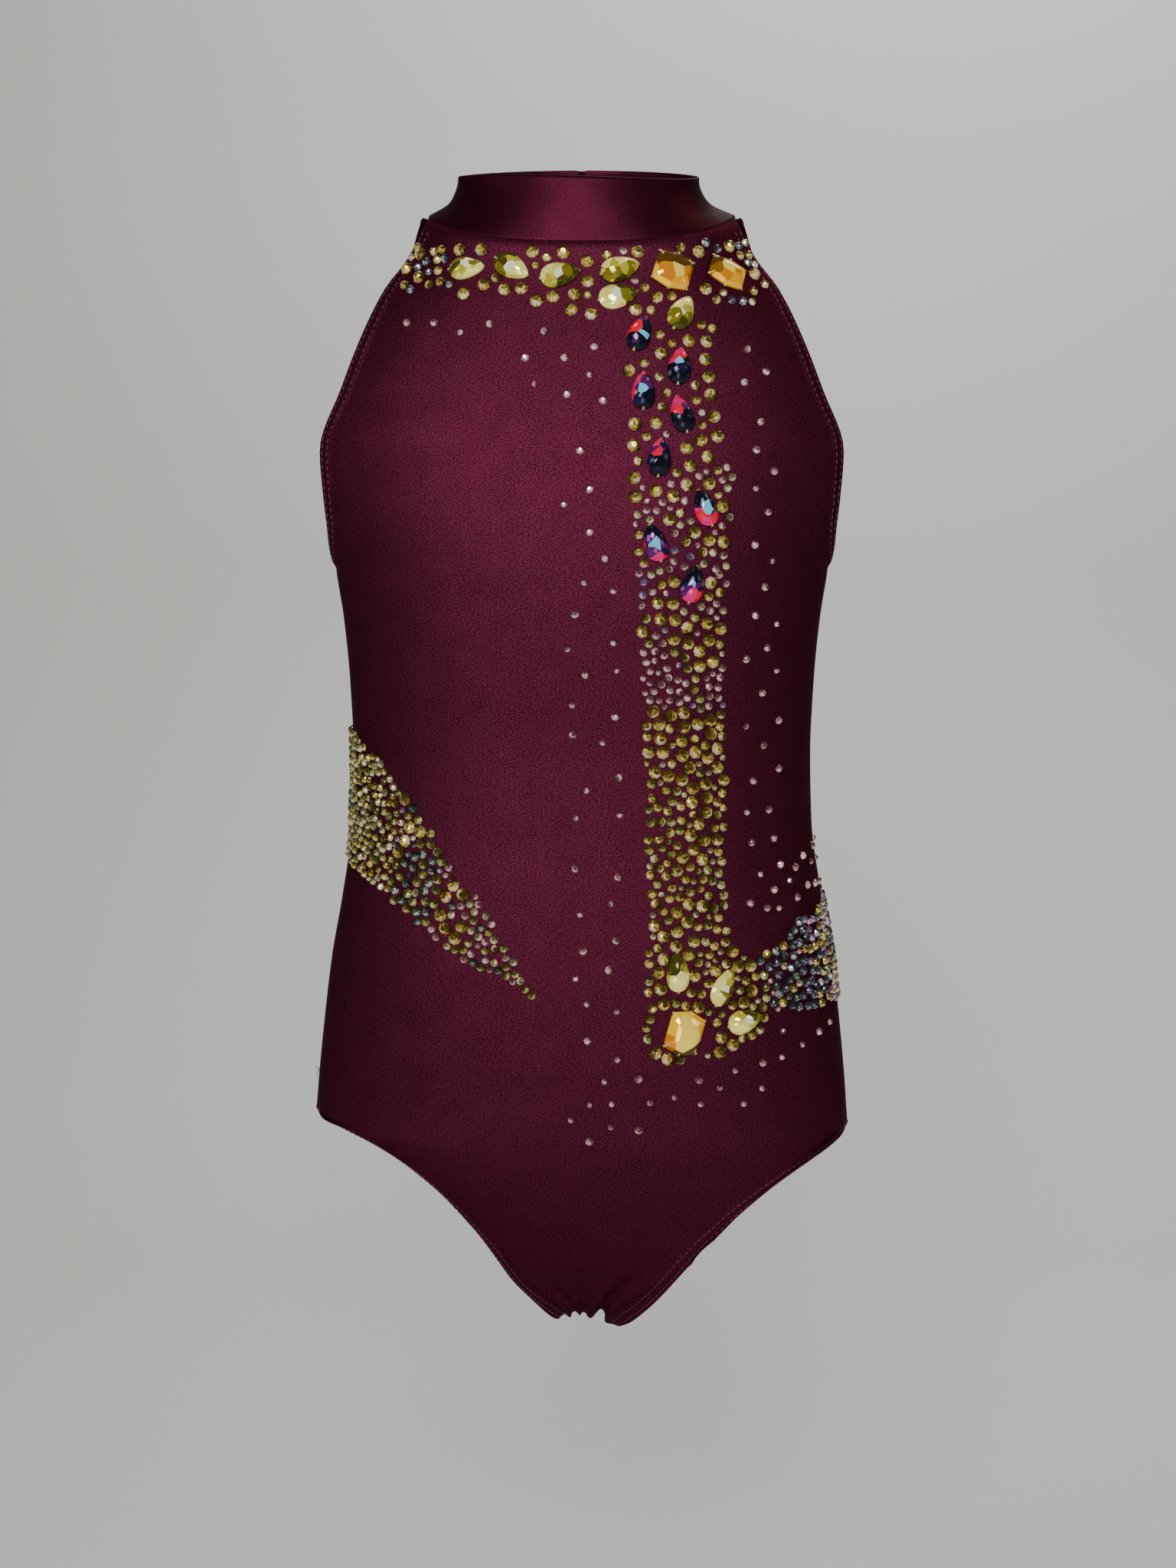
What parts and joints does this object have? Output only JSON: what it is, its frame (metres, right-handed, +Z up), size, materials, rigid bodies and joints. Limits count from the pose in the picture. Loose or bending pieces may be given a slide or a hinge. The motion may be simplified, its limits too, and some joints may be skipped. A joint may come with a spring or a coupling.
{
  "type": "rhythmic gymnastics leotard",
  "caption": "Sleeveless child's rhythmic gymnastics leotard with a stand collar, closed by a button behind, and large sew-on stones, held in its worn, hollow form.",
  "frame": {"origin": "middle of the neck seam, where the wearer's neck passes through", "axes": "+Z up along the worn garment, -Y to its front, +X to the wearer's left"},
  "size_m": [0.2672, 0.1798, 0.5887],
  "materials": {
    "front_panel": "satin stretch tricot",
    "back_panel": "satin stretch tricot",
    "collar": "satin stretch tricot",
    "button": "polished",
    "button_loop": "matt elastic cord",
    "citrine": "cut glass",
    "amber": "cut glass",
    "violet": "cut glass with a metallic film"
  },
  "bodies": {
    "root": {"front_panel": "front_panel", "back_panel": "back_panel", "collar": "collar", "button": "button", "button_loop": "button_loop", "drop_citrine_1": "citrine", "drop_citrine_2": "citrine", "drop_citrine_3": "citrine", "drop_citrine_4": "citrine", "drop_citrine_5": "citrine", "drop_citrine_6": "citrine", "drop_citrine_7": "citrine", "drop_citrine_8": "citrine", "drop_citrine_9": "citrine", "kite_amber_1": "amber", "kite_amber_2": "amber", "kite_amber_3": "amber", "drop_violet_1": "violet", "drop_violet_2": "violet", "drop_violet_3": "violet", "drop_violet_4": "violet", "drop_violet_5": "violet", "drop_violet_6": "violet", "drop_violet_7": "violet", "drop_violet_8": "violet"}
  },
  "joints": []
}
